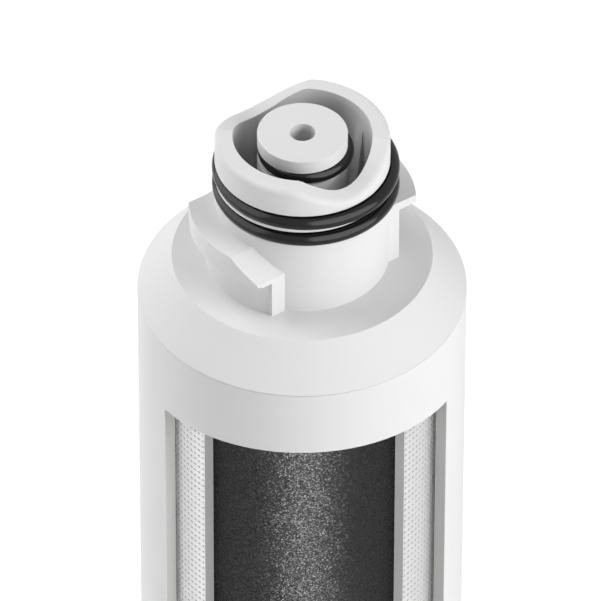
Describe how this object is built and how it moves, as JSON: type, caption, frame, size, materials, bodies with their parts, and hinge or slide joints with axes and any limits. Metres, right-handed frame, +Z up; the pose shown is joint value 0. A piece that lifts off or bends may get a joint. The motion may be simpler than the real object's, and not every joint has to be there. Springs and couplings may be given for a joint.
{
  "type": "fridge water filter cartridge",
  "caption": "Tall round twist-in water filter cartridge with a sealed neck, bayonet lugs and a wavy rim, cut away at the front to show its fleece sleeve and carbon block.",
  "frame": {"origin": "middle of the base, on the surface that the cartridge stands on", "axes": "+Z up the cartridge's axis to the neck, -Y towards the cut-away"},
  "size_m": [0.056, 0.056, 0.2224],
  "materials": {
    "white_housing": "injection-moulded white polypropylene, satin",
    "white_end_cap": "injection-moulded white polypropylene, satin",
    "black_seal": "black moulded rubber with a thin film of grease",
    "pressed_carbon": "black carbon powder pressed with a binder, fine bright grains",
    "white_fleece": "white non-woven fleece embossed with a fine staggered dot grid",
    "hot_melt": "off-white hot-melt adhesive"
  },
  "bodies": {
    "root": {"housing": "white_housing", "head_cap": "white_housing", "neck_seal_upper": "black_seal", "neck_seal_lower": "black_seal", "stem_seal": "black_seal", "top_end_cap": "white_end_cap", "bottom_end_cap": "white_end_cap", "carbon_block": "pressed_carbon", "core_fleece": "white_fleece", "fleece_sleeve": "white_fleece", "top_bond_ring": "hot_melt", "bottom_bond_ring": "hot_melt"}
  },
  "joints": []
}
